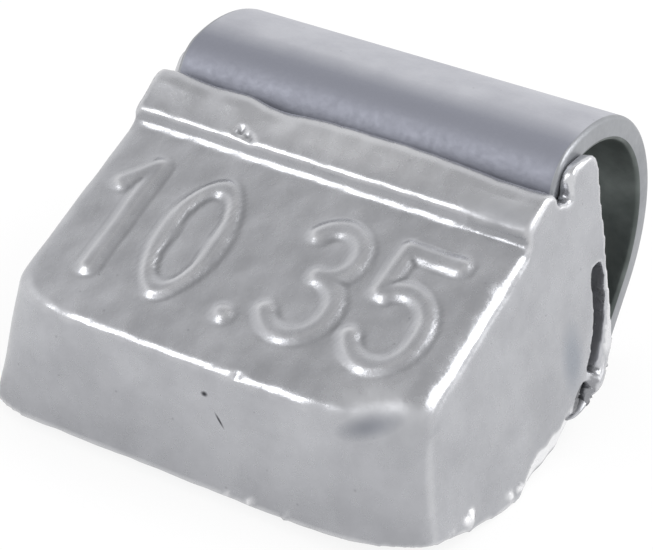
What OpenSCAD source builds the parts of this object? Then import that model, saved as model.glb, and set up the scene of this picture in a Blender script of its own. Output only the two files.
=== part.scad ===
// Clip-on wheel balance weight: a drafted casting poured round the root of a bent spring clip.
// X runs along the rim, Y from the front of the casting back to the hook, and Z is up.
// Sections are drawn in Y and Z from the foot of the ridge, where the numbered face ends.

/* [Casting] */
// Length of the numbered face, along the rim
face_w = 14.8; // [14.2:0.2:24]
// Slope length of the numbered face, from the ridge to its front edge
face_len = 7.7; // [6.5:0.05:9]
// Slope of the numbered face
face_tilt = 24.5; // [18:0.5:28]
// Height of the ridge's foot above the plane that the weight lies on
ridge_z = 7.8; // [7.4:0.1:9]
// Forward lean of the front face from the vertical
front_lean = 4; // [1:0.5:8]
// Draft of the two ends, from the direction in which the die opens
end_draft = 11.5; // [4:0.5:14]
// Length of the front corners' rounding, along the rim
corner_x = 2.5; // [1:0.1:3]
// Length of the front corners' rounding, from front to back
corner_y = 1.2; // [0.8:0.1:2]
// Rounding of the edges of the numbered face
edge_r = 0.4; // [0.1:0.05:0.8]

/* [Seat on the rim] */
// Distance from the ridge's foot back to the face that lies against the rim flange
seat_y = 4.2; // [4.15:0.05:4.3]
// Radius of the curved underside that clears the rim
belly_r = 9.5; // [9:0.25:14]
// Distance of the lowest line of the underside in front of the ridge's foot
belly_y = 2.3; // [1.5:0.1:3]
// Height of the front edge of the underside above its lowest line
toe_z = 0.3; // [0.1:0.05:0.8]
// Radius between the underside and the seat face
heel_r = 1.5; // [1:0.05:2]

/* [Ridge and nub] */
// Height of the riser between the numbered face and the ridge
riser_h = 0.65; // [0.5:0.05:0.8]
// Radius in the corner at the foot of the riser
foot_r = 0.2; // [0.1:0.05:0.3]
// Radius along the front of the ridge
ridge_r = 0.3; // [0.15:0.05:0.35]
// Height of the ridge where it laps against the clip
lap_h = 1.2; // [1.05:0.05:1.4]
// Radius of the ridge's crown, next to the clip
lap_r = 0.7; // [0.5:0.05:0.9]
// Height of the nub behind the clip's neck, above the ridge's foot
nub_h = 1.4; // [1.25:0.05:1.8]
// Radius of the nub's top corners
nub_r = 0.45; // [0.2:0.05:0.6]

/* [Spring clip] */
// Thickness of the spring strip
strip_t = 0.85; // [0.7:0.05:1.1]
// Width of the spring strip
strip_w = 14; // [10:0.2:14]
// Inside radius of the hook that goes over the rim edge
hook_r = 4.3; // [4.1:0.05:4.6]
// Distance of the hook's centre behind the ridge's foot
hook_y = 4.6; // [4.4:0.05:4.8]
// Depth of the hook's centre below the ridge's foot
hook_z = 2.98; // [2.7:0.02:3.1]
// Direction from the hook's centre to the end of the neck bend
hook_start = 106; // [103:1:108]
// Angle below the horizontal at which the hook becomes the straight free leg
leg_angle = 32; // [20:1:42]
// Inside radius of the neck bend
neck_r = 0.7; // [0.5:0.05:0.8]
// Lean of the cast-in root from the vertical
root_lean = 14; // [10:0.5:15]
// Straight length of the root
root_len = 3; // [2.7:0.1:3.3]
// Radius of the curl at the root's end, at mid-thickness
curl_r = 3.4; // [3:0.1:4]
// Angle of the curl at the root's end
curl = 49; // [40:1:51]

/* [Anchorage] */
// Number of anchor holes through the root, filled by the casting
anchor_n = 2; // [1:1:3]
// Spacing of the anchor holes
anchor_pitch = 5; // [3:0.1:5.5]
// Diameter of an anchor hole
anchor_d = 2; // [1.2:0.1:2.4]
// Distance of the anchor holes below the neck bend
anchor_s = 1.7; // [1.4:0.05:1.9]
// Width of the notch beside the clip's neck at each end
notch_w = 0.7; // [0.5:0.05:0.9]
// Height of the notch's floor above the ridge's foot
notch_z = 0.7; // [0.4:0.05:0.9]
// Thickness of the die blades that hold the root, seen as slots in the ends
blade_t = 0.5; // [0.3:0.05:0.55]
// Radius of the curved blades, at mid-thickness
blade_r = 4.55; // [4.2:0.05:5]
// Metal between the slots and the seat face, where it is thinnest
blade_wall = 0.27; // [0.25:0.01:0.4]
// Depth of the thinnest place below the ridge's foot
blade_z = 2.9; // [2.7:0.1:3.2]
// Angle of the slot above the thinnest place
slot_up = 10; // [7:1:18]
// Angle of the slot below the thinnest place
slot_down = 36; // [30:1:37]
// Angle of the metal bridge below the slot
bridge_a = 4; // [3:1:6]
// Length of the pocket from the bridge down past the underside
pocket_len = 2; // [1.8:0.1:2.6]

/* [Hidden] */
zinc = [0.70, 0.71, 0.73];
steel = [0.62, 0.63, 0.66];
$fn = 96;
arc_step = 5;
fillet_steps = 5;

// Front edge of the numbered face and of the underside, before any rounding
brow = -face_len * [cos(face_tilt), sin(face_tilt)];
toe = [brow.x - (brow.y + ridge_z - toe_z) * tan(front_lean), toe_z - ridge_z];
front_draft = face_tilt + front_lean;
block_h = 1.2 * ridge_z;

// Centres of the arcs of the underside, each tangent to the next
belly_c = [-belly_y, belly_r - ridge_z];
heel_c = [seat_y - heel_r, belly_c.y - sqrt((belly_r - heel_r) ^ 2 - (seat_y - heel_r + belly_y) ^ 2)];
heel_a = atan2(heel_c.y - belly_c.y, heel_c.x - belly_c.x);
toe_r = ((belly_y + toe.x) ^ 2 + toe_z ^ 2) / (2 * toe_z);
toe_a = asin((belly_y + toe.x) / toe_r);

// Centres and joints of the clip's centre line
mid_r = hook_r + strip_t / 2;
bend_r = neck_r + strip_t / 2;
hook_c = [hook_y, -hook_z];
neck_c = hook_c + (mid_r - bend_r) * [cos(hook_start), sin(hook_start)];
root_dir = [sin(root_lean), -cos(root_lean)];
root_out = [-cos(root_lean), -sin(root_lean)];
root_top = neck_c + bend_r * root_out;
curl_c = root_top + root_len * root_dir + curl_r * root_out;
leg_top = hook_c + mid_r * [cos(leg_angle), -sin(leg_angle)];
leg_len = (leg_top.y + ridge_z - strip_t / 2 * sin(leg_angle)) / cos(leg_angle);

// Centres of the ridge's two roundings, and the direction square to the line over both
ridge_c = [ridge_r, riser_h - ridge_r];
lap_c = [neck_c.x - neck_r - strip_t - lap_r, lap_h - lap_r];
lap_a = atan2(lap_c.y - ridge_c.y, lap_c.x - ridge_c.x) + acos((ridge_r - lap_r) / norm(lap_c - ridge_c));
foot_t = foot_r * tan((90 - face_tilt) / 2);
notch_y = neck_c.x - neck_r - strip_t / 2 - notch_w / 2;

// The section is shifted so that the origin lies under the middle of the weight
shift_y = -(toe.x + hook_y + hook_r + strip_t) / 2;

// Points along an arc from angle a to angle b
function arc(c, r, a, b) = let (n = ceil(abs(b - a) / arc_step))
    [for (i = [0:n]) c + r * [cos(a + (b - a) * i / n), sin(a + (b - a) * i / n)]];

// How far a drafted wall stands out from the face's virtual edge at a depth, with its rounding
function wall(draft, d) = d < edge_r * (1 - sin(draft))
    ? sqrt(edge_r ^ 2 - (edge_r - d) ^ 2) - edge_r / tan((90 + draft) / 2)
    : d * tan(draft);

// A section drawn in Y and Z becomes a solid along X
module along_x(w) {
    rotate([90, 0, 90]) translate([0, 0, -w / 2]) linear_extrude(w) children();
}

// Outline of a band round an arc
function band(c, r, t, a, b) = concat(arc(c, r - t / 2, a, b), arc(c, r + t / 2, b, a));

// Section of the strip: up the curl and the root, round the neck and the hook, down the leg
// and back on the inside
module clip_section() {
    half = strip_t / 2;
    tip = leg_top + leg_len * [-sin(leg_angle), -cos(leg_angle)];
    across = half * [cos(leg_angle), -sin(leg_angle)];
    polygon(concat(
        arc(curl_c, curl_r - half, root_lean - curl, root_lean),
        arc(neck_c, bend_r + half, 180 + root_lean, hook_start),
        arc(hook_c, mid_r + half, hook_start, -leg_angle),
        [tip + across, tip - across],
        arc(hook_c, mid_r - half, -leg_angle, hook_start),
        arc(neck_c, bend_r - half, hook_start, 180 + root_lean),
        arc(curl_c, curl_r + half, root_lean, root_lean - curl)
    ));
}

// The whole clip, with the holes that the casting flows into
module clip_solid() {
    hole = root_top + anchor_s * root_dir;
    difference() {
        along_x(strip_w) clip_section();
        for (i = [0:anchor_n - 1]) translate([(i - (anchor_n - 1) / 2) * anchor_pitch, hole.x, hole.y])
            rotate([90 - root_lean, 0, 0]) cylinder(h = 3 * strip_t, d = anchor_d, center = true);
    }
}

// What the die keeps open beyond the clip's edges: a notch beside the neck, a slot beside the
// root and, under the slot, a straight pocket that is open below
module end_openings() {
    blade_c = [seat_y - blade_wall - blade_t / 2 - blade_r, -blade_z];
    pocket_at = -slot_down - bridge_a;
    for (side = [-1, 1]) translate([side * (strip_w / 2 + 2), 0, 0]) along_x(4) {
        translate([notch_y, notch_z]) rotate(root_lean) translate([-notch_w / 2, 0])
            square([notch_w, 2]);
        polygon(band(blade_c, blade_r, blade_t, slot_up, -slot_down));
        translate(blade_c) rotate(pocket_at) translate([blade_r - blade_t / 2, -pocket_len])
            square([blade_t, pocket_len]);
    }
}

// Section of the casting from the numbered face over the ridge and the nub to the seat, the
// heel and the underside. It runs past the front, which the die space cuts.
module cast_section() {
    polygon(concat(
        [1.5 * brow],
        arc([-foot_r, foot_r * (1 - sin(face_tilt)) / cos(face_tilt)], foot_r, face_tilt - 90, 0),
        arc(ridge_c, ridge_r, 180, lap_a),
        arc(lap_c, lap_r, lap_a, 10),
        [[notch_y + notch_w / 2, lap_c.y]],
        arc([notch_y + notch_w / 2 + nub_r, nub_h - nub_r], nub_r, 180, 90),
        arc([seat_y - nub_r, nub_h - nub_r], nub_r, 90, 0),
        arc(heel_c, heel_r, 0, heel_a),
        arc(belly_c, belly_r, heel_a, -90),
        arc([-belly_y, toe_r - ridge_z], toe_r, -90, -90 + 1.4 * toe_a)
    ));
}

// Plan outline at a depth below the numbered face, square behind and round at the front corners.
// The corners' rounding is less by an inset.
function plan(x, y, inset, back, d) = let (
    long = max(edge_r / 2, corner_x - inset),
    deep = long * corner_y / corner_x
) concat(
    [for (side = [-1, 1]) for (p = arc([0, 0], 1, 225 + 45 * side, 315 + 45 * side))
        [side * (x - long) + long * p.x, deep - y + deep * p.y, -d]],
    [[x, back, -d], [-x, back, -d]]
);

// Solid through a stack of outlines with equal numbers of points, from the top down
module loft(rings) {
    n = len(rings[0]);
    last = (len(rings) - 1) * n;
    polyhedron(
        [for (ring = rings) each ring],
        concat(
            [[for (i = [n - 1:-1:0]) i], [for (i = [0:n - 1]) last + i]],
            [for (k = [0:n:last - n]) for (i = [0:n - 1]) let (j = (i + 1) % n)
                [k + i, k + j, k + n + j, k + n + i]]
        )
    );
}

// Everything that the die's two halves leave room for, with drafted ends, a drafted front and
// round front corners
module die_space() {
    back = 2 * ridge_z;
    loft([for (d = [-ridge_z / 4, block_h])
        plan(face_w / 2 + d * tan(end_draft), face_len + d * tan(front_draft), 0, back, d)]);
}

// The same space with the edges of the numbered face rounded
module face_rounding() {
    hair = 0.004;
    function ring(d) = let (e = wall(end_draft, d) + hair, f = wall(front_draft, d) + hair)
        plan(face_w / 2 + e, face_len + f, max(0, -e - f) / 2, 1, d);
    start = edge_r / tan(45 + end_draft / 2) + 4 * edge_r;
    union() {
        loft(concat(
            [plan(face_w / 2 - start, face_len - start, start / 2, 1, -edge_r / 10)],
            [for (i = [0:fillet_steps]) ring(edge_r * (1 - cos((90 - end_draft) * i / fillet_steps)))],
            [ring(block_h)]
        ));
        translate([-face_w, -foot_t - 0.05, -2 * block_h]) cube([2 * face_w, 3 * ridge_z, 3 * block_h]);
    }
}

module cast_body() {
    color(zinc) translate([0, shift_y, ridge_z]) difference() {
        intersection() {
            along_x(3 * face_w) cast_section();
            rotate([face_tilt, 0, 0]) die_space();
            rotate([face_tilt, 0, 0]) face_rounding();
        }
        clip_solid();
        end_openings();
    }
}

module spring_clip() {
    color(steel) translate([0, shift_y, ridge_z]) clip_solid();
}

cast_body();
spring_clip();
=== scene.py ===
import bmesh
import bpy
import numpy as np
from mathutils import Matrix, Vector


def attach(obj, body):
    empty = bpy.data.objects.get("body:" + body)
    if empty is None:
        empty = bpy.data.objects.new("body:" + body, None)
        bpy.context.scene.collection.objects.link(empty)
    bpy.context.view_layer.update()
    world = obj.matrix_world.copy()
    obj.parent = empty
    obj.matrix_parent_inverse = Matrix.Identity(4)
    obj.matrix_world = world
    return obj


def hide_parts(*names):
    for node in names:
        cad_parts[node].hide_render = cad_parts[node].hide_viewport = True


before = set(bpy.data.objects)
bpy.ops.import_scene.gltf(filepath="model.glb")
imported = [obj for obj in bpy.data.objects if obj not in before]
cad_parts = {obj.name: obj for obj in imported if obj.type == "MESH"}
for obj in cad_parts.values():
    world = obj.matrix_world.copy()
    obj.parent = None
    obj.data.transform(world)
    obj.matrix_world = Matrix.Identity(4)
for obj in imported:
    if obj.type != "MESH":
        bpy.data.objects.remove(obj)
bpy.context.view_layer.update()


# The casting: zinc alloy poured in a die round the clip's root, then dipped in silver paint.
# Its edges are softened by the paint, its skin is slightly wavy, and plain raised numbers
# stand on the sloping face. It takes its shape from the CAD solid.

# Lengths are in mm. Places on the ridge and on the face start at the foot of the ridge.
MM = 0.001
VOXEL = 0.108
RIDGE_FOOT = np.array([0.0, -1.221, 7.8])
RIDGE_STEP, RIDGE_REAR = 0.55, 2.2
FACE_TILT, FACE_LEN = np.radians(24.5), 7.7
FACE_UP = np.array([0, np.cos(FACE_TILT), np.sin(FACE_TILT)])
FACE_OUT = np.array([0, -np.sin(FACE_TILT), np.cos(FACE_TILT)])
MARK_HEIGHT, MARK_FLAT, MARK_FLANK = 0.13, 0.08, 0.46


def linear(colour):
    """Turns an sRGB hex colour into the linear values that shaders use."""
    c = np.array([int(colour[i:i + 2], 16) for i in (1, 3, 5)]) / 255
    return (*np.where(c <= 0.04045, c / 12.92, ((c + 0.055) / 1.055) ** 2.4), 1.0)


def add_node(tree, kind, inputs, **settings):
    """Adds a node. Each input is a value, or a pair of a node and the name of its output."""
    made = tree.nodes.new(kind)
    for key, value in settings.items():
        setattr(made, key, value)
    for key, value in inputs.items():
        if isinstance(value, tuple) and isinstance(value[0], bpy.types.Node):
            tree.links.new(value[0].outputs[value[1]], made.inputs[key])
        else:
            made.inputs[key].default_value = value
    return made


def fine_copy(cad, voxel, weld=0.0005):
    """Copy of a CAD node in mm, as an even grid of quads drawn back onto the CAD's own faces.
    The CAD's corner points that lie closer than the weld are joined first."""
    sharp = bpy.data.objects.new("sharp", cad.data.copy())
    fine = bpy.data.objects.new("fine", cad.data.copy())
    for o in (sharp, fine):
        bpy.context.scene.collection.objects.link(o)
        o.data.transform(Matrix.Scale(1 / MM, 4))
        bm = bmesh.new()
        bm.from_mesh(o.data)
        bmesh.ops.remove_doubles(bm, verts=bm.verts, dist=weld)
        bm.to_mesh(o.data)
        bm.free()
    remesh = fine.modifiers.new("grid", "REMESH")
    remesh.mode, remesh.voxel_size, remesh.adaptivity = "VOXEL", voxel, 0
    wrap = fine.modifiers.new("wrap", "SHRINKWRAP")
    wrap.target, wrap.wrap_method = sharp, "NEAREST_SURFACEPOINT"
    mesh = bpy.data.meshes.new_from_object(
        fine.evaluated_get(bpy.context.evaluated_depsgraph_get()))
    co = np.zeros(len(mesh.vertices) * 3, np.float32)
    mesh.vertices.foreach_get("co", co)
    ends = np.zeros(len(mesh.edges) * 2, np.int32)
    mesh.edges.foreach_get("vertices", ends)
    for o in (sharp, fine):
        bpy.data.objects.remove(o)
    return mesh, co.reshape(-1, 3).astype(float), ends.reshape(-1, 2)


def neighbour_mean(values, ends):
    """Mean of the values at each point's neighbours along the mesh's edges."""
    count = np.bincount(ends.ravel(), minlength=len(values))
    total = np.stack([
        np.bincount(ends[:, 0], column[ends[:, 1]], len(values))
        + np.bincount(ends[:, 1], column[ends[:, 0]], len(values)) for column in values.T], 1)
    return total / count[:, None]


def relax(co, ends, steps):
    """Smooths a mesh: in each step every point moves a share of the way to its neighbours' mean.
    A share below zero moves it back, which keeps the mesh from shrinking."""
    for share in steps:
        co = co + share * (neighbour_mean(co, ends) - co)
    return co


def ramp(values, start, length):
    """Straight rise from 0 at the start to 1 a length further on, held at 0 and 1 outside. With
    a length below zero it rises the other way."""
    return np.clip((values - start) / length, 0, 1)


def to_line(p, a, b):
    """Distance from points to a straight stroke: the foot of the perpendicular, held to the
    stroke's two ends."""
    a, b = np.array(a), np.array(b)
    t = np.clip((p - a) @ (b - a) / ((b - a) @ (b - a)), 0, 1)
    return np.linalg.norm(p - a - t[:, None] * (b - a), axis=1)


def to_arc(p, centre, size, start, end):
    """Distance from points to a round stroke: the point on the arc in the same direction from
    its centre, held to the arc's two ends, with the arc's own width and height."""
    mid, half = np.radians((start + end) / 2), np.radians((end - start) / 2)
    size = np.array(size)
    q = (p - np.array(centre)) / size
    turn = np.clip((np.arctan2(q[:, 1], q[:, 0]) - mid + np.pi) % (2 * np.pi) - np.pi, -half, half)
    foot = np.array(centre) + size * np.stack([np.cos(mid + turn), np.sin(mid + turn)], 1)
    return np.linalg.norm(p - foot, axis=1)


def number_strokes(p):
    """Distance from points of the face to the nearest stroke of the numbers. Strokes are placed
    along the rim and up the slope, in mm."""
    low, high = -5.75, -1.45
    waist, bowl_rise = (low + high) / 2 + 0.2, 0.5
    one = [
        to_line(p, (-6.25, high - 0.95), (-5.4, high)),
        to_line(p, (-5.4, high), (-5.4, low)),
    ]
    zero = [to_arc(p, (-2.85, (low + high) / 2), (0.95, (high - low) / 2), -180, 180)]
    point = [to_line(p, (-0.35, low), (-0.3, low))]
    three = [
        to_arc(p, (1.75, (high + waist) / 2), (0.9, (high - waist) / 2), -90, 150),
        to_arc(p, (1.75, (low + waist) / 2), (1.05, (waist - low) / 2), -150, 90),
    ]
    five = [
        to_line(p, (3.95, high), (5.75, high)),
        to_line(p, (3.95, high), (3.85, waist + 0.25)),
        to_arc(p, (4.75, (low + waist + bowl_rise) / 2), (1.1, (waist + bowl_rise - low) / 2), -150, 128),
    ]
    return np.min(one + zero + point + three + five, axis=0)


def face_frame(co):
    """Place along the rim, up the slope and above the numbered face, for points in mm."""
    q = co - RIDGE_FOOT
    c, s = np.cos(FACE_TILT), np.sin(FACE_TILT)
    return q[:, 0], q[:, 1] * c + q[:, 2] * s, q[:, 2] * c - q[:, 1] * s


def raise_numbers(co):
    """Lifts the strokes square to the face: full height on the stroke's line, falling off as a
    cosine over its flank."""
    x, v, w = face_frame(co)
    skin, top, foot, half_length = 0.12, -0.6, 0.5 - FACE_LEN, 6.8
    on_face = (np.abs(w) < skin) & (v < top) & (v > foot) & (np.abs(x) < half_length)
    fall = ramp(number_strokes(np.stack([x, v], 1)[on_face]), MARK_FLAT, MARK_FLANK)
    lift = np.zeros(len(co))
    lift[on_face] = MARK_HEIGHT * (0.5 + 0.5 * np.cos(np.pi * fall))
    return co + lift[:, None] * FACE_OUT


def swell_ridge(co):
    """Lifts the ridge's crown where the metal ran further up the clip, and lowers it where it
    ran less far: a sum of bell curves along the rim, fading in over the ridge's height."""
    x, y, z = (co - RIDGE_FOOT).T
    swells = [(0.16, -6.7, 1.1), (0.08, -4.2, 0.9), (-0.10, -2.6, 0.8), (0.06, 1.5, 1.6), (-0.12, 6.0, 1.5)]
    lift = sum(height * np.exp(-((x - place) / width) ** 2) for height, place, width in swells)
    front = 0.2
    on_crown = (y > front) & (y < RIDGE_REAR) & (z > RIDGE_STEP)
    lift = np.where(on_crown, lift * ramp(z, RIDGE_STEP, 0.5) * ramp(y, front, 0.7), 0)
    return co + lift[:, None] * np.array([0, 0, 1])


def ripple(co):
    """Unevenness of the die's skin: a sum of plane sine waves with random directions and
    phases, in mm."""
    waves, shortest, longest, height = 14, 0.8, 3.0, 0.004
    rng = np.random.default_rng(7)
    ways = rng.normal(size=(waves, 3))
    ways /= np.linalg.norm(ways, axis=1)[:, None] * rng.uniform(shortest, longest, waves)[:, None]
    return height * np.sin(2 * np.pi * co @ ways.T + rng.uniform(0, 2 * np.pi, waves)).sum(1)


def bumps(co, places):
    """Sum of bell curves round places, each with its height and its radius in mm."""
    return sum(height * np.exp(-((co - np.array(place)) ** 2).sum(1) / radius ** 2)
               for place, height, radius in places)


def near(co, place, size):
    """Mask that falls off as a bell curve from a place, with a size along each axis in mm."""
    return np.exp(-(((co - np.array(place)) / np.array(size)) ** 2).sum(1))


def near_any(co, spots):
    """Sum of such masks, each with its own strength."""
    return sum(strength * near(co, place, size) for strength, place, size in spots)


def normals(mesh, co):
    """Unit normals of the mesh at its points."""
    mesh.vertices.foreach_set("co", co.astype(np.float32).ravel())
    mesh.update()
    out = np.zeros(len(co) * 3, np.float32)
    mesh.vertex_normals.foreach_get("vector", out)
    return out.reshape(-1, 3).astype(float)


def write_mask(mesh, name, values):
    """Keeps a mask's value at each point of the mesh, where the paint finds it by its name."""
    mesh.attributes.new(name, "FLOAT", "POINT").data.foreach_set("value", values.astype(np.float32))


def show(name, mesh, co, material, node_name=None):
    """Puts points in mm into a mesh in metres, smooth, and in place of a CAD node if one is
    named."""
    mesh.vertices.foreach_set("co", (co * MM).astype(np.float32).ravel())
    mesh.polygons.foreach_set("use_smooth", np.ones(len(mesh.polygons), bool))
    mesh.update()
    mesh.materials.clear()
    mesh.materials.append(material)
    piece = bpy.data.objects.new(name, mesh)
    bpy.context.scene.collection.objects.link(piece)
    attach(piece, "root")
    if node_name:
        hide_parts(node_name)


def patch(tree, place, centre, size, spin):
    """Mask that is 1 in the middle of an ellipsoid round a place in mm and fades to 0 at its
    edge."""
    local = add_node(tree, "ShaderNodeMapping", {
        "Vector": (place, "Object"), "Location": tuple(np.array(centre) * MM),
        "Rotation": (0, spin, 0), "Scale": tuple(np.array(size) * MM)}, vector_type="TEXTURE")
    far = add_node(tree, "ShaderNodeVectorMath", {0: (local, "Vector")}, operation="LENGTH")
    return add_node(tree, "ShaderNodeMapRange", {
        "Value": (far, "Value"), "From Min": 1.0, "From Max": 0.3})


def silver_paint(name, dark, light, roughness, grain_mm, grain_depth, stains_and_reflections, masks):
    """Silver paint over bare metal: fine metal flake in a clear binder, so it is grey, softly
    glossy and a little mottled, with the metal's own grain and dust showing through. Stains and
    painted reflections have places of their own, and masks, among them painted shade and painted
    highlights, are read from the mesh."""
    cloud_mm, dust_mm, dust_share, dulling, flake_share = 2.2, 0.8, 0.25, 0.45, 0.9
    paint = bpy.data.materials.new(name)
    paint.use_nodes = True
    tree = paint.node_tree
    shader = tree.nodes["Principled BSDF"]
    place = add_node(tree, "ShaderNodeTexCoord", {})
    cloud = add_node(tree, "ShaderNodeTexNoise", {
        "Vector": (place, "Object"), "Scale": 1 / (cloud_mm * MM), "Detail": 5.0, "Roughness": 0.6})
    tone = add_node(tree, "ShaderNodeValToRGB", {"Fac": (cloud, "Fac")})
    ends = tone.color_ramp.elements
    ends[0].position, ends[0].color = 0.36, linear(dark)
    ends[1].position, ends[1].color = 0.64, linear(light)
    speck = add_node(tree, "ShaderNodeTexVoronoi", {
        "Vector": (place, "Object"), "Scale": 1 / (dust_mm * MM)})
    dust = add_node(tree, "ShaderNodeMapRange", {
        "Value": (speck, "Distance"), "From Min": 0.07, "From Max": 0.03, "To Max": dust_share})
    layers = [(dust, "Result", "#55565a")]
    for centre, size, spin, tint in stains_and_reflections:
        layers.append((patch(tree, place, centre, size, spin), "Result", tint))
    for mask_name, tint in masks:
        mask = add_node(tree, "ShaderNodeAttribute", {}, attribute_name=mask_name)
        layers.append((mask, "Fac", tint))
    colour = (tone, "Color")
    for mask, output, tint in layers:
        tinted = add_node(tree, "ShaderNodeMix", {
            "Factor": (mask, output), "A": colour, "B": linear(tint)}, data_type="RGBA")
        colour = (tinted, "Result")
    tree.links.new(colour[0].outputs[colour[1]], shader.inputs["Base Color"])
    grain = add_node(tree, "ShaderNodeTexNoise", {
        "Vector": (place, "Object"), "Scale": 1 / (grain_mm * MM), "Detail": 4.0, "Roughness": 0.6})
    gloss = add_node(tree, "ShaderNodeMapRange", {
        "Value": (grain, "Fac"), "From Min": 0.3, "From Max": 0.7,
        "To Min": roughness - 0.05, "To Max": roughness + 0.07})
    dull = add_node(tree, "ShaderNodeAttribute", {}, attribute_name="dull")
    rough = add_node(tree, "ShaderNodeMath", {
        0: (dull, "Fac"), 1: dulling, 2: (gloss, "Result")}, operation="MULTIPLY_ADD")
    tree.links.new(rough.outputs["Value"], shader.inputs["Roughness"])
    bump = add_node(tree, "ShaderNodeBump", {
        "Height": (grain, "Fac"), "Distance": grain_depth * MM, "Strength": 1.0})
    tree.links.new(bump.outputs["Normal"], shader.inputs["Normal"])
    shader.inputs["Metallic"].default_value = flake_share
    return paint


# Two specks of dirt on the front, a darker bluish patch by the right front corner, which is a
# painted reflection, and a smudge on the right end. Then the masks: painted shade in hollows and
# creases, painted highlights on edges with some unpainted new metal, and bare metal in the slots.
zinc_paint = silver_paint(
    "silver_painted_zinc", "#a8a9ad", "#b5b6ba", roughness=0.24, grain_mm=0.4, grain_depth=0.012,
    stains_and_reflections=[
        ((0.28, -8.29, 3.66), (0.15, 0.5, 0.11), 0.0, "#3c3d41"),
        ((0.88, -8.34, 2.94), (0.05, 0.5, 0.34), -0.7, "#3c3d41"),
        # The darker bluish patch: a painted reflection of a dark part of the surroundings.
        ((6.1, -8.1, 4.5), (1.5, 0.9, 0.45), -0.45, "#7b7e86"),
        ((8.38, 0.5, 3.3), (1.0, 0.75, 1.5), 0.0, "#999da4"),
    ],
    masks=[("crease", "#66676b"), ("fresh", "#f2f2f4"), ("bare", "#c4c5c9")])

# The solid's drafted ends, its round underside and the blade that leaves a slot, with places
# from the ridge's foot, and the angles where a slot stops above and where its arc runs out
# straight below.
END_X, END_DRAFT = 7.4, np.radians(11.5)
BELLY, BELLY_R = np.array([-2.3, 1.7]), 9.5
BLADE, BLADE_R, BLADE_T = np.array([-0.87, -2.9]), 4.55, 0.5
SLOT_TOP, ARC_FOOT = np.radians(12), np.radians(-40)


def in_slots(co):
    """Which points lie in the slots or the pockets: deeper than the ends' drafted planes, and
    within a blade's thickness of the blade's own arc or, below it, of the tangent to the arc.
    Also gives the step that wears the slot wider at each point: square to the blade, growing
    in a straight line from the middle to the slot's two sides and falling off past them."""
    x, _, w = face_frame(co)
    depth = END_X * np.cos(END_DRAFT) - np.abs(x) * np.cos(END_DRAFT) - w * np.sin(END_DRAFT)
    q = (co - RIDGE_FOOT)[:, 1:] - BLADE
    turn = np.arctan2(q[:, 1], q[:, 0])
    held = np.maximum(turn, ARC_FOOT)
    way = np.stack([0 * held, np.cos(held), np.sin(held)], 1)
    on_arc = turn > held - 1e-6
    off = np.where(on_arc, np.linalg.norm(q, axis=1), (q * way[:, 1:]).sum(1)) - BLADE_R
    wide, narrow = BLADE_T / 2 + 0.06, BLADE_T / 2 + 0.02
    inner = ((depth > 0.02) & (np.abs(off) < wide)) | ((depth > -0.03) & (np.abs(off) < narrow))
    inner &= (turn < SLOT_TOP) & (co[:, 2] > 1.3) & (np.abs(x) > 6.9)
    wider = np.interp(off, [-0.85, -0.25, 0.25, 0.52], [0, -0.2, 0.12, 0])
    wider *= ramp(turn, SLOT_TOP, -0.1) * ramp(np.abs(x), 6.6, 0.3)
    return inner, (wider * ramp(co[:, 2], 1.6, 0.5))[:, None] * way


mesh, points, mesh_edges = fine_copy(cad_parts["cast_body"], VOXEL)
bare, wider = in_slots(points)
bare = bare.astype(float)

# The whole skin is softened. The ridge's foot, the right end round the pocket's mouth, the
# face's front edge, its right front corner and the ridge's right end are worn rounder. The
# face's right edge and front corner are blunted most.
SOFTEN, WEAR, BLUNT = [0.5, -0.53] * 6 + [0.5] * 2, [0.5] * 30, [0.5] * 40
points = relax(points + wider, mesh_edges, SOFTEN)
worn = relax(points, mesh_edges, WEAR)
x, v, w = face_frame(points)
right_edge = np.exp(-((x - 7.1) / 0.7) ** 2 - (w / 0.6) ** 2) * ramp(v, -0.9, -0.8) * ramp(v, -8.2, 0.8)
ridge_foot = np.exp(-(v / 0.35) ** 2 - (w / 0.25) ** 2) * ramp(x, 5.5, -0.8)
wear = near_any(points, [
    (1.0, (8.7, -0.6, 1.2), (0.9, 1.5, 1.5)), (1.0, (8.4, 0.4, 1.6), (0.9, 0.7, 0.7)),
    (1.0, (8.6, 1.4, 1.4), (0.6, 0.5, 0.4)), (0.6, (3.0, -8.2, 4.65), (1.6, 0.4, 0.4)),
    (1.0, (7.2, -7.1, 5.1), (1.0, 1.0, 1.0)), (1.0, (6.0, -0.9, 8.6), (1.0, 0.6, 0.5))])
wear = np.clip(wear + 0.7 * ridge_foot, 0, 1) * (1 - bare)
blunt = np.clip(right_edge + 1.2 * near(points, (6.4, -8.1, 4.7), (1.2, 1.0, 1.0)), 0, 1)
points += wear[:, None] * (worn - points)
points += blunt[:, None] * (relax(worn, mesh_edges, BLUNT) - points)

# The face's right front corner is drawn back up the slope.
drawn = 0.4 * near(points, (6.7, -8.1, 4.8), (1.7, 1.2, 0.9))
points += drawn[:, None] * FACE_UP

# The right front corner of the underside is rounded away.
round_rise, round_height = 0.75, 1.8
away = near(points[:, :2], (8.5, -8.0), (2.6, 2.6))
points[:, 2] += round_rise * away * np.clip(1 - points[:, 2] / round_height, 0, 1)

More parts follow.
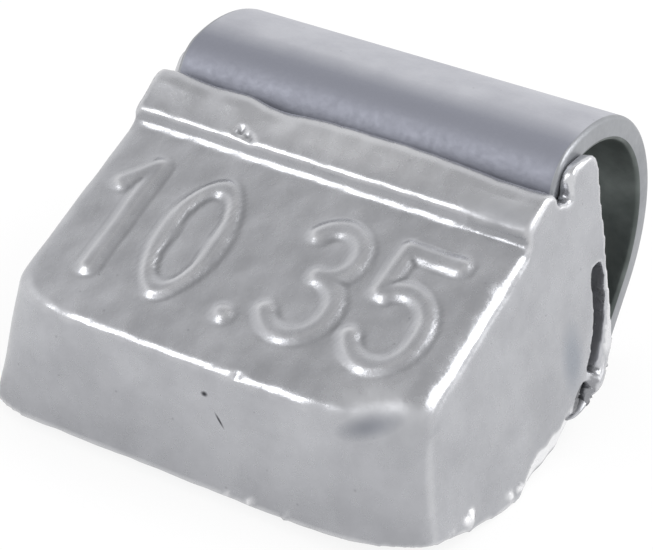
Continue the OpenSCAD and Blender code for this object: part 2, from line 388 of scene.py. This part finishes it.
# The lower edge of the right end is broken back to a ragged bevel, from the pocket to the
# middle of the underside. It reaches further up the end than in along the underside, and it
# runs out at both ends.
BEVEL_IN, BEVEL_UP, BEVEL_X = 0.36, 0.9, 6.5
x, y, z = (points - RIDGE_FOOT).T
from_end = (END_X - x) * np.cos(END_DRAFT) - face_frame(points)[2] * np.sin(END_DRAFT)
from_below = BELLY_R - np.hypot(y - BELLY[0], z - BELLY[1])
ragged = 1 + 0.1 * np.sin(5.1 * y + 1.0) * np.sin(2.3 * y)
along = np.clip((2.0 - y) / 0.5, 0.01, 1) * np.clip((y + 2.0) / 1.0, 0.01, 1) * ragged
bevel_in, bevel_up = BEVEL_IN * along, BEVEL_UP * along
past = 1 - from_end / bevel_in - from_below / bevel_up
over = np.clip(past, 0, 1) / (1 / bevel_in ** 2 + 1 / bevel_up ** 2)
over = np.where((x > BEVEL_X) & (bare < 0.5), over, 0)
end_way = np.cos(END_DRAFT) * np.array([1, 0, 0]) + np.sin(END_DRAFT) * FACE_OUT
to_axis = np.stack([0 * y, BELLY[0] - y, BELLY[1] - z], 1) / BELLY_R
points = points - (over / bevel_in)[:, None] * end_way + (over / bevel_up)[:, None] * to_axis
on_bevel = ramp(past, 0, 0.15) * (x > BEVEL_X) * (along > 0.3)
across = np.clip((from_end + over / bevel_in) / bevel_in, 0, 1)
bevel = on_bevel * ramp(across, 0.8, -0.15) * 0.9
outward = normals(mesh, points)

# Where the die's two halves met, crumbs of flash were left along the lower edges: a number of
# small grains round each place, and three larger ones on the right end.
crumbs = [
    ((8.62, -2.97, 0.5), 4), ((8.53, -3.75, 0.45), 3), ((8.3, -5.8, 0.8), 2), ((8.22, -6.9, 0.8), 2),
    ((-3.45, -8.51, 0.48), 1), ((1.49, -8.5, 0.6), 1), ((2.31, -8.5, 0.5), 2), ((3.54, -8.5, 0.5), 2)]
spread, heights, radii = 0.1, (0.04, 0.08), (0.06, 0.12)
rng = np.random.default_rng(3)
grains = [(np.array(place) + rng.normal(0, spread, 3), rng.uniform(*heights), rng.uniform(*radii))
          for place, count in crumbs for _ in range(count)]
grains += [
    ((8.34, -5.72, 0.98), 0.08, 0.13), ((8.32, -5.84, 0.82), 0.1, 0.14), ((8.3, -5.92, 0.68), 0.08, 0.12)]

# The ridge and the face's front edge have nicks, the heels behind the pockets are swollen, and
# the front edge sinks in on the right.
nicks = [
    ((-3.38, -0.93, 8.49), -0.16, 0.16), ((-3.05, -1.02, 8.42), -0.14, 0.13),
    ((-2.86, -1.07, 8.34), -0.1, 0.1), ((1.33, -8.2, 4.7), -0.08, 0.16),
    ((0.32, -8.2, 4.7), -0.05, 0.1), ((-4.1, -8.2, 4.7), -0.05, 0.1)]
heels = [((8.3, 1.9, 1.6), 0.25, 0.6), ((-8.3, 1.9, 1.6), 0.15, 0.6)]
sink = [((5.3, -8.2, 4.5), -0.16, 1.3)]
lift = ripple(points) + bumps(points, grains) + bumps(points, nicks + heels + sink)
points = points + lift[:, None] * outward
points = raise_numbers(swell_ridge(points))

# The right nub stands a little higher. Nothing reaches below the floor.
nub_lift = 0.25 * near(points, (7.7, 2.2, 9.2), (0.8, 0.9, 0.5))
points[:, 2] = np.maximum(points[:, 2] + nub_lift, 0)

# How hollow the skin is: how far each point lies below its neighbours, in mm.
hollow = ((neighbour_mean(points, mesh_edges) - points) * normals(mesh, points)).sum(1)
hollow = relax(hollow[:, None], mesh_edges, [0.5])[:, 0]

# The paint is dull where the face's front corner and the ridge's end are rubbed on the right.
x, y, z = (points - RIDGE_FOOT).T
dull = np.clip(near_any(points, [
    (1.5, (6.5, -8.0, 4.8), (1.2, 0.65, 0.5)), (1.0, (7.3, -7.75, 5.0), (0.5, 0.35, 0.4)),
    (1.0, (6.3, -1.1, 8.55), (1.1, 0.5, 0.3))]), 0, 1)

# It is painted lighter on the bevel, the right slot's rear wall, the crumbs, the right front corner
# and the ridge's crown, and a little on all outer edges and on the face near that corner: painted
# highlights and reflections, with some unpainted new metal on the crumbs.
wall = ramp(y, 3.5, 0.15) * ramp(z, -2.2, -0.2) * ramp(z, -5.4, 0.4) * ragged * (x > 7.9) * 0.6
crumb = bumps(points, grains) / 0.04
corner = 0.2 * ramp(outward @ np.array([0.92, -0.38, 0.1]), 0.95, 0.05) * (x > 4) * (z < -3.6)
crown = (0.06 + 0.2 * np.exp(-((x - 0.5) / 3.5) ** 2)) * ramp(z, RIDGE_STEP, 0.3) * (y < RIDGE_REAR)
edge = np.clip(-hollow / 0.02 - 0.1, 0, 0.35)
fresh = np.clip(np.max([bevel, wall, crumb, corner, crown, edge], axis=0), 0, 1)
fresh *= (1 - bare) * (1 - dull)
fresh += 0.22 * near(points, (5.9, -7.45, 5.05), (1.4, 0.7, 0.5))

# It is painted darker in hollows, low on the front, along the bevel's lower rim, on the ridge's
# riser, in the pockets and, a little, where it is dull: all of this is painted shade.
to_front = ramp(outward[:, 1], -0.5, -0.3)
low_front_shade = 0.22 * ramp(z, -4.3, -2.5) * to_front
rim = 0.8 * on_bevel * ramp(across, 0.72, 0.15)
riser = (0.2 + 0.2 * (x > 5.2)) * to_front * (z > 0.12) * (z < 0.6) * (y < 1)
pocket = bare * (points[:, 2] < 2.3)
bare -= pocket
hollow_shade = np.clip(hollow / 0.012 - 0.2, 0, 0.5) * (1 - bare)
crease = np.max([hollow_shade, low_front_shade, rim, riser, 0.5 * pocket, 0.2 * dull], axis=0)

show("casting", mesh, points, zinc_paint, "cast_body")
for mask_name, values in (("bare", bare), ("fresh", fresh), ("crease", crease), ("dull", dull)):
    write_mask(mesh, mask_name, values)


# A sliver of flash, left where metal crept between the dies across the right pocket's mouth.
# Zinc alloy like the casting and under the same paint.

SLIVER_STEPS, SLIVER_HALF_WIDE, RING_STEPS = 24, 0.38, 16
SLIVER_STOPS = np.array([
    (8.3, 2.15, 1.9), (8.33, 1.7, 1.5), (8.35, 1.25, 1.33),
    (8.35, 0.8, 1.25), (8.33, 0.35, 1.25), (8.25, -0.05, 1.35)])


def ribbon(line, half_thick, half_wide, steps):
    """Rings along a line in mm: at each of its points an ellipse square to the line, half_wide
    to each side along X and that point's own half_thick to each side across."""
    tangent = np.gradient(line, axis=0)
    out = np.cross(tangent, [1.0, 0, 0])
    out /= np.linalg.norm(out, axis=1)[:, None]
    a = np.linspace(0, 2 * np.pi, steps, endpoint=False)[None, :, None]
    return (line[:, None] + half_thick[:, None, None] * np.cos(a) * out[:, None]
            + half_wide * np.sin(a) * np.array([1.0, 0, 0]))


def closed_tube(name, rings):
    """Mesh through rings of points: quads from each ring to the next, and one face to close
    each end, all turned outward."""
    index = np.arange(rings.shape[0] * rings.shape[1]).reshape(rings.shape[:2])
    beside = np.roll(index, -1, 1)
    quads = np.stack([index[:-1], beside[:-1], beside[1:], index[1:]], -1).reshape(-1, 4)
    mesh = bpy.data.meshes.new(name)
    mesh.from_pydata(
        rings.reshape(-1, 3).tolist(), [],
        quads.tolist() + [index[0].tolist(), index[-1][::-1].tolist()])
    bm = bmesh.new()
    bm.from_mesh(mesh)
    bmesh.ops.recalc_face_normals(bm, faces=bm.faces)
    bm.to_mesh(mesh)
    bm.free()
    return mesh


share = np.linspace(0, 1, SLIVER_STEPS + 1)
at_stops = np.linspace(0, 1, len(SLIVER_STOPS))
line = np.stack([np.interp(share, at_stops, column) for column in SLIVER_STOPS.T], 1)
line = relax(line, np.stack([np.arange(SLIVER_STEPS), np.arange(1, SLIVER_STEPS + 1)], 1), [0.5] * 4)

# The sliver thins towards its front end, a little unevenly.
half_thick = 0.15 - 0.09 * share + 0.015 * np.sin(19 * share)
rings = ribbon(line, half_thick, SLIVER_HALF_WIDE, RING_STEPS)
mesh = closed_tube("flash", rings)
points = rings.reshape(-1, 3)
show("flash", mesh, points, zinc_paint)

# Only its outer rim catches the light; the rest of the sliver is painted shade and made dull.
shade = np.clip((8.66 - points[:, 0]) / 0.08, 0.15, 1)
for mask_name in ("crease", "dull"):
    write_mask(mesh, mask_name, shade)


# The spring clip: steel strip, sheared to width, bent round a mandrel and hardened. Its root
# is cast into the block, and its free leg leans back in to grip the rim.

# The clip's paint has a mask that darkens its front part: painted shade.
clip_paint = silver_paint(
    "silver_painted_spring_steel", "#b3b4bb", "#bfc0c6", roughness=0.55, grain_mm=0.25,
    grain_depth=0.01, stains_and_reflections=[], masks=[("thin", "#8e909a")])
edge_paint = silver_paint(
    "silver_paint_on_sheared_edge", "#909296", "#9fa1a5", roughness=0.4, grain_mm=0.25,
    grain_depth=0.01, stains_and_reflections=[], masks=[])

# The inside of the hook is painted dark and patchy grey-green: painted shade, where little
# light reaches into the hook.
SHADE_PATCH_MM, SHADE_BUMP_MM = 1.2, 0.02
hook_shade = bpy.data.materials.new("painted_shade_inside_hook")
hook_shade.use_nodes = True
tree = hook_shade.node_tree
shader = tree.nodes["Principled BSDF"]
place = add_node(tree, "ShaderNodeTexCoord", {})
cloud = add_node(tree, "ShaderNodeTexNoise", {
    "Vector": (place, "Object"), "Scale": 1 / (SHADE_PATCH_MM * MM), "Detail": 5.0})
tone = add_node(tree, "ShaderNodeValToRGB", {"Fac": (cloud, "Fac")})
ends = tone.color_ramp.elements
ends[0].position, ends[0].color = 0.35, linear("#4c5250")
ends[1].position, ends[1].color = 0.7, linear("#686e6c")
tree.links.new(tone.outputs["Color"], shader.inputs["Base Color"])
bump = add_node(tree, "ShaderNodeBump", {"Height": (cloud, "Fac"), "Distance": SHADE_BUMP_MM * MM})
tree.links.new(bump.outputs["Normal"], shader.inputs["Normal"])
shader.inputs["Metallic"].default_value = 0.7
shader.inputs["Roughness"].default_value = 0.45

# Places are in Y and Z from the ridge's foot, radii go to the strip's middle, and angles are in
# degrees. The strip sits a little off centre, and its hook is bent slightly out and down.
STRIP_T, STRIP_W, STRIP_X, STRIP_EDGE = 0.82, 14.16, -0.08, 0.14
HOOK_SHIFT = np.array([0.08, -0.08])
HOOK_R, HOOK, HOOK_START, LEG_ANGLE = 4.3 + STRIP_T / 2, np.array([4.6, -2.98]), 106.0, 32.0
NECK_R, ROOT_LEAN, ROOT_LEN, CURL_R, CURL = 0.7 + STRIP_T / 2, 14.0, 3.0, 3.4, 49.0
FLAT_POINTS, EDGE_POINTS, LEG_POINTS = 54, 5, 23


def bend(centre, radius, start, end):
    """Points every 2 degrees along a bend in Y and Z."""
    a = np.radians(np.linspace(start, end, int(abs(end - start) / 2) + 2))
    return centre + radius * np.stack([np.cos(a), np.sin(a)], 1)


def strip_line():
    """The strip's centre line in Y and Z: curl, straight root, neck bend, hook and free leg,
    each tangent to the next. The leg reaches down to the floor."""
    def way(angle):
        """Step of length 1 in the direction of an angle that turns from Y to Z."""
        return np.array([np.cos(np.radians(angle)), np.sin(np.radians(angle))])
    neck = HOOK + (HOOK_R - NECK_R) * way(HOOK_START)
    root = neck - NECK_R * way(ROOT_LEAN)
    curl = root + ROOT_LEN * way(ROOT_LEAN - 90) - CURL_R * way(ROOT_LEAN)
    leg = HOOK + HOOK_R * way(-LEG_ANGLE)
    lean = np.radians(LEG_ANGLE)
    reach = (leg[1] + HOOK_SHIFT[1] + RIDGE_FOOT[2] - STRIP_T / 2 * np.sin(lean)) / np.cos(lean)
    share = np.linspace(0, 1, LEG_POINTS + 1)[1:, None]
    return np.concatenate([
        bend(curl, CURL_R, ROOT_LEAN - CURL, ROOT_LEAN),
        bend(neck, NECK_R, 180 + ROOT_LEAN, HOOK_START),
        bend(HOOK, HOOK_R, HOOK_START, -LEG_ANGLE)[1:],
        leg + share * reach * way(-90 - LEG_ANGLE),
    ])


def strip_rings(line, half_w, half_t, radius):
    """Rings of a strip swept along a line: the section is a rectangle with rounded edges, set
    square to the line's own tangent. It starts with the hook's inside."""
    tangent = np.gradient(line, axis=0)
    tangent /= np.linalg.norm(tangent, axis=1)[:, None]
    across = np.stack([tangent[:, 1], -tangent[:, 0]], 1)
    a = np.radians(np.linspace(0, 90, EDGE_POINTS))
    cx, ct = half_w - radius, half_t - radius
    flat = np.linspace(-1, 1, FLAT_POINTS + 2)[1:-1] * cx
    ring = np.concatenate([
        np.stack([cx + radius * np.cos(a), ct + radius * np.sin(a)], 1),
        np.stack([-flat, np.full(FLAT_POINTS, half_t)], 1),
        np.stack([-cx - radius * np.sin(a), ct + radius * np.cos(a)], 1),
        np.stack([-cx - radius * np.cos(a), -ct - radius * np.sin(a)], 1),
        np.stack([flat, np.full(FLAT_POINTS, -half_t)], 1),
        np.stack([cx + radius * np.sin(a), -ct - radius * np.cos(a)], 1),
    ])
    yz = line[:, None, :] + ring[None, :, 1, None] * across[:, None, :]
    x = np.broadcast_to(ring[None, :, :1], (*yz.shape[:2], 1))
    return np.concatenate([x, yz], 2)


line = strip_line()
line += ramp(line[:, :1], 3.2, 3.0) * HOOK_SHIFT
rings = strip_rings(line, STRIP_W / 2, STRIP_T / 2, STRIP_EDGE) + RIDGE_FOOT + np.array([STRIP_X, 0, 0])
mesh = closed_tube("clip", rings)
points = rings.reshape(-1, 3)
show("clip", mesh, points, clip_paint, "spring_clip")
mesh.materials.append(hook_shade)
mesh.materials.append(edge_paint)

# Round the section the faces go from the hook's inside over one sheared edge and the outside to
# the other sheared edge. The strip's two ends are sheared too.
rows, cols = rings.shape[:2]
column = np.tile(np.arange(cols), rows - 1)
inside = 2 * EDGE_POINTS + FLAT_POINTS - 1
sheared = (column >= cols - EDGE_POINTS) | ((column >= inside) & (column < inside + EDGE_POINTS))
PAINTED, SHADED, SHEARED = 0, 1, 2
side = np.full(len(mesh.polygons), SHEARED, np.int32)
side[:len(column)] = np.where(sheared, SHEARED, np.where(column < inside, SHADED, PAINTED))
mesh.polygons.foreach_set("material_index", side)
# The front part of the clip is painted darker towards the front: painted shade.
write_mask(mesh, "thin", ramp(points[:, 1], 3.1, -1.0))


# The floor is plain white card under a bright tent, with three soft boxes: in front to the
# left, high on the right and low on the right. They draw the lines along the edges.

FLOOR_HALF = 0.6
SEEN_WHITE, MIRRORED_WHITE = 0.85, 0.8
floor_mesh = bpy.data.meshes.new("floor")
floor_corners = [(FLOOR_HALF * x, FLOOR_HALF * y, 0) for x, y in ((-1, -1), (1, -1), (1, 1), (-1, 1))]
floor_mesh.from_pydata(floor_corners, [], [(0, 1, 2, 3)])
floor = bpy.data.objects.new("floor", floor_mesh)
bpy.context.scene.collection.objects.link(floor)
card = bpy.data.materials.new("white_card")
card.use_nodes = True
tree = card.node_tree
shader = tree.nodes["Principled BSDF"]
shader.inputs["Base Color"].default_value = linear("#f2f2f2")
shader.inputs["Roughness"].default_value = 0.9

# Seen straight or in the metal, the card is nearly pure white.
path = add_node(tree, "ShaderNodeLightPath", {})
bounced = add_node(tree, "ShaderNodeMath", {
    0: (path, "Is Glossy Ray"), 1: (path, "Is Transmission Ray")}, operation="MAXIMUM")
mirrored = add_node(tree, "ShaderNodeMath", {
    0: (bounced, "Value"), 1: MIRRORED_WHITE}, operation="MULTIPLY")
seen = add_node(tree, "ShaderNodeMath", {
    0: (path, "Is Camera Ray"), 1: SEEN_WHITE}, operation="MULTIPLY")
glow = add_node(tree, "ShaderNodeMath", {
    0: (seen, "Value"), 1: (mirrored, "Value")}, operation="MAXIMUM")
white = add_node(tree, "ShaderNodeEmission", {"Color": (1, 1, 1, 1), "Strength": 1.0})
mix = add_node(tree, "ShaderNodeMixShader", {
    "Fac": (glow, "Value"), 1: (shader, "BSDF"), 2: (white, "Emission")})
tree.links.new(mix.outputs["Shader"], tree.nodes["Material Output"].inputs["Surface"])
floor_mesh.materials.append(card)

# The tent is a little darker overhead, which the camera doesn't see.
world = bpy.data.worlds.new("tent")
bpy.context.scene.world = world
world.use_nodes = True
tree = world.node_tree
back = tree.nodes["Background"]
path = add_node(tree, "ShaderNodeLightPath", {})
way = add_node(tree, "ShaderNodeTexCoord", {})
height = add_node(tree, "ShaderNodeSeparateXYZ", {"Vector": (way, "Generated")})
roof = add_node(tree, "ShaderNodeMapRange", {
    "Value": (height, "Z"), "From Min": 0.75, "From Max": 0.93, "To Min": 1.0, "To Max": 0.62})
level = add_node(tree, "ShaderNodeMix", {
    "Factor": (path, "Is Camera Ray"), "A": (roof, "Result"), "B": 1.0}, data_type="FLOAT")
tree.links.new(level.outputs["Result"], back.inputs["Strength"])
back.inputs["Color"].default_value = (1, 1, 1, 1)

MIDDLE = Vector((0, 0, 5 * MM))


def soft_box(name, way, distance, width, height, radiance):
    """A lamp in a direction from the object, whose power gives its face a set brightness."""
    lamp = bpy.data.lights.new(name, "AREA")
    lamp.shape, lamp.size, lamp.size_y = "RECTANGLE", width, height
    lamp.energy = radiance * np.pi * width * height
    holder = bpy.data.objects.new(name, lamp)
    way = Vector(way).normalized()
    holder.location = MIDDLE + way * distance
    holder.rotation_mode = "QUATERNION"
    holder.rotation_quaternion = way.to_track_quat("Z", "Y")
    bpy.context.scene.collection.objects.link(holder)


soft_box("front_left", (-0.44, -0.69, 0.57), distance=0.16, width=0.035, height=0.09, radiance=5.0)
soft_box("high_right", (0.59, 0.23, 0.77), distance=0.16, width=0.11, height=0.11, radiance=3.5)
soft_box("low_right", (0.75, 0.62, 0.14), distance=0.18, width=0.09, height=0.09, radiance=1.0)

# The camera stands in front on the right and looks down by about 30 degrees.
EYE = (np.array([35.461, -59.765, 37.171]) + RIDGE_FOOT) * MM
RIGHT, UP = (0.85021, 0.52522, 0.03581), (-0.29157, 0.41317, 0.86272)
AHEAD = (-0.43832, 0.74393, -0.50442)
FOCAL_PX, IMAGE_W, SENSOR_MM = 2488, 653, 36
view = bpy.data.cameras.new("view")
view.sensor_width = SENSOR_MM
view.lens = FOCAL_PX / IMAGE_W * SENSOR_MM
view.clip_start, view.clip_end = 1 * MM, 5
camera = bpy.data.objects.new("view", view)
turn = Matrix((RIGHT, UP, [-a for a in AHEAD])).transposed().to_4x4()
camera.matrix_world = Matrix.Translation(EYE.tolist()) @ turn
bpy.context.scene.collection.objects.link(camera)
bpy.context.scene.camera = camera
bpy.context.scene.view_settings.view_transform = "Standard"
